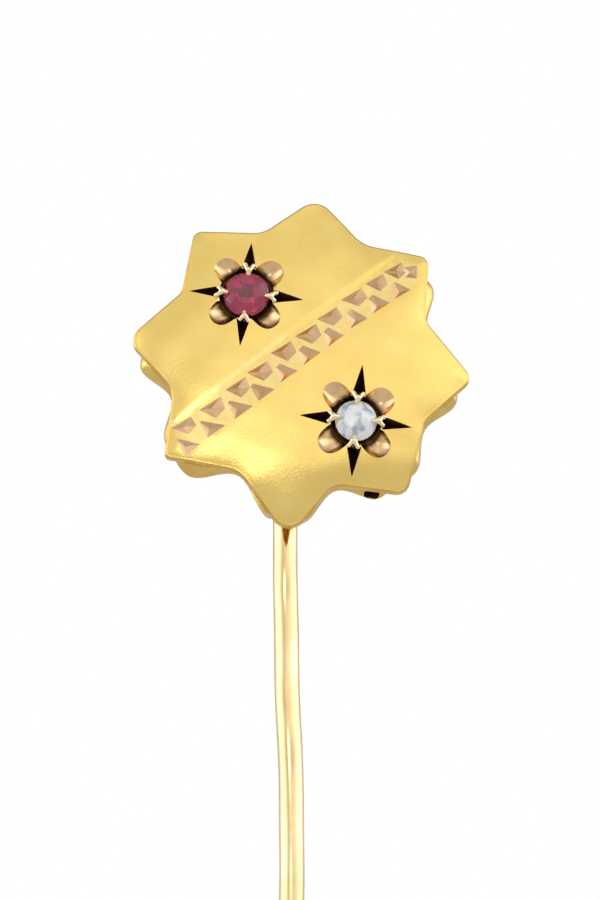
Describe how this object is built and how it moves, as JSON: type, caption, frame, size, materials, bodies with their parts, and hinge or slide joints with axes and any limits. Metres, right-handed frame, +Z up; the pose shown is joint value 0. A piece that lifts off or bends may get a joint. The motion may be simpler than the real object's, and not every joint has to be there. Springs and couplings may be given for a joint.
{
  "type": "stick pin",
  "caption": "Gold stick pin with a hollow star head, two star-set stones, an engraved diagonal band and a long plain wire ending in a sharp point.",
  "frame": {"origin": "on the wire's axis, at the middle of its straight shank", "axes": "+Z up along the wire from its point towards the star, -Y the way the star's face looks, +X to the right of a person facing the star"},
  "size_m": [0.0139, 0.0036, 0.0649],
  "materials": {
    "bloomed_gold": "matte bloomed yellow gold with bare cuts",
    "polished_gold": "worn polish",
    "claw_gold": "burnished",
    "wire_gold": "polished, drawn wire",
    "ruby": "faceted, polished",
    "diamond": "rose cut, polished"
  },
  "bodies": {
    "root": {"star_face": "bloomed_gold", "gallery_wall": "polished_gold", "back_plate": "polished_gold", "ruby": "ruby", "diamond": "diamond", "ruby_collet": "claw_gold", "diamond_collet": "claw_gold", "stem_pad": "polished_gold", "pin_stem": "wire_gold"}
  },
  "joints": []
}
